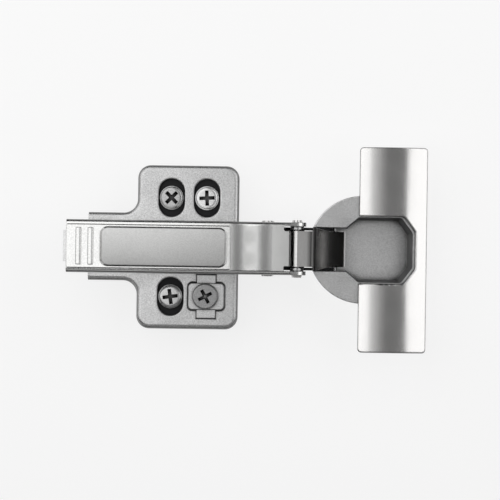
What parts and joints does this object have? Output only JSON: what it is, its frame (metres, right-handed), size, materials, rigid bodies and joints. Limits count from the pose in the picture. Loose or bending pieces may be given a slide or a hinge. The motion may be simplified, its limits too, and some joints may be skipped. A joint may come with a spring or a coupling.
{
  "type": "soft-close cabinet hinge",
  "caption": "Concealed cabinet door hinge: slotted two-part mounting plate, clip-on cranked arm with cover, two links and a round flanged cup with a cover plate",
  "frame": {"origin": "midway between the two system-hole screws, on the face that lies on the cabinet side", "axes": "+X toward the door edge of the cabinet side, +Y along the cabinet height, +Z out from the cabinet side"},
  "size_m": [0.1168, 0.0664, 0.029],
  "materials": {
    "polished_nickel": "bright nickel plated steel sheet",
    "satin_nickel": "satin nickel with fine grain",
    "plated_steel": "nickel plated steel",
    "dark_steel": "black passivated steel sheet",
    "black_plastic": "matt black moulding",
    "spring_wire": "drawn spring wire"
  },
  "bodies": {
    "base": {"base_plate": "dark_steel", "euro_screws": "plated_steel"},
    "height": {"height_plate": "satin_nickel", "clip_rail": "plated_steel", "rail_rivets": "plated_steel", "carrier": "plated_steel", "hook_pin": "plated_steel", "lever_pin": "plated_steel", "lever_spring": "spring_wire"},
    "height_cam": {"height_cam": "plated_steel"},
    "depth_slide": {"depth_slide": "plated_steel", "tilt_pin": "plated_steel"},
    "depth_screw": {"depth_screw": "plated_steel"},
    "side_screw": {"side_screw": "plated_steel"},
    "release_lever": {"release_lever": "plated_steel"},
    "arm": {"hinge_arm": "polished_nickel", "arm_cover": "polished_nickel", "front_pin": "polished_nickel", "rear_pin": "polished_nickel", "knuckle_washers": "plated_steel", "closing_spring": "spring_wire", "damper_holder": "black_plastic", "damper_cylinder": "plated_steel", "damper_cap": "black_plastic"},
    "front_link": {"front_link": "polished_nickel"},
    "rear_link": {"rear_link": "plated_steel"},
    "damper_rod": {"damper_rod": "plated_steel"},
    "cup": {"hinge_cup": "satin_nickel", "cup_cover": "polished_nickel", "swing_pin": "plated_steel", "guide_pin": "plated_steel"}
  },
  "joints": [
    {"name": "height_adjust", "type": "slide", "parent": "base", "child": "height", "axis": [0, 1, 0], "range_m": [-0.002, 0.002]},
    {"name": "height_cam_turn", "type": "hinge", "parent": "height", "child": "height_cam", "pos_m": [0.0113, -0.0158, 0.004], "axis": [0, 0, 1], "range_deg": [-46, 46]},
    {"name": "depth_adjust", "type": "slide", "parent": "height", "child": "depth_slide", "axis": [1, 0, 0], "range_m": [-0.002, 0.002]},
    {"name": "depth_screw_turn", "type": "hinge", "parent": "height", "child": "depth_screw", "pos_m": [-0.008, 0, 0.012], "axis": [0, 0, 1], "range_deg": [-61, 61]},
    {"name": "overlay_tilt", "type": "hinge", "parent": "depth_slide", "child": "arm", "pos_m": [-0.017, 0, 0.0129], "axis": [0, -1, 0], "range_deg": [-0.9, 1.6]},
    {"name": "side_screw_turn", "type": "hinge", "parent": "depth_slide", "child": "side_screw", "pos_m": [0.004, 0, 0.012], "axis": [0, 0, 1], "range_deg": [-266, 150]},
    {"name": "release_press", "type": "hinge", "parent": "height", "child": "release_lever", "pos_m": [-0.028, 0, 0.007], "axis": [0, 1, 0], "range_deg": [0, 12], "stiffness_Nm_per_rad": 0.03, "springref_deg": -14.32},
    {"name": "front_link_turn", "type": "hinge", "parent": "arm", "child": "front_link", "pos_m": [0.0406, 0, 0.0095], "axis": [0, -1, 0], "range_deg": [-18.2, 2.6]},
    {"name": "rear_link_turn", "type": "hinge", "parent": "arm", "child": "rear_link", "pos_m": [0.0313, 0, 0.008], "axis": [0, -1, 0], "range_deg": [-29.9, 4.1]},
    {"name": "damper_push", "type": "slide", "parent": "arm", "child": "damper_rod", "axis": [1, 0, 0], "range_m": [-0.00107, 0.00015]},
    {"name": "door_swing", "type": "hinge", "parent": "front_link", "child": "cup", "pos_m": [0.05327, 0, -0.00282], "axis": [0, -1, 0], "range_deg": [-14.4, 108]}
  ],
  "couplings": [
    {"joint": "height_cam_turn", "follows": "height_adjust", "rad_per_m": -392.7},
    {"joint": "depth_screw_turn", "follows": "depth_adjust", "rad_per_m": -527.1},
    {"joint": "side_screw_turn", "follows": "overlay_tilt", "ratio": -164.9},
    {"joint": "front_link_turn", "follows": "door_swing", "ratio": -0.16667},
    {"joint": "rear_link_turn", "follows": "door_swing", "ratio": -0.275},
    {"joint": "damper_push", "follows": "door_swing", "m_per_rad": -0.0005625}
  ]
}
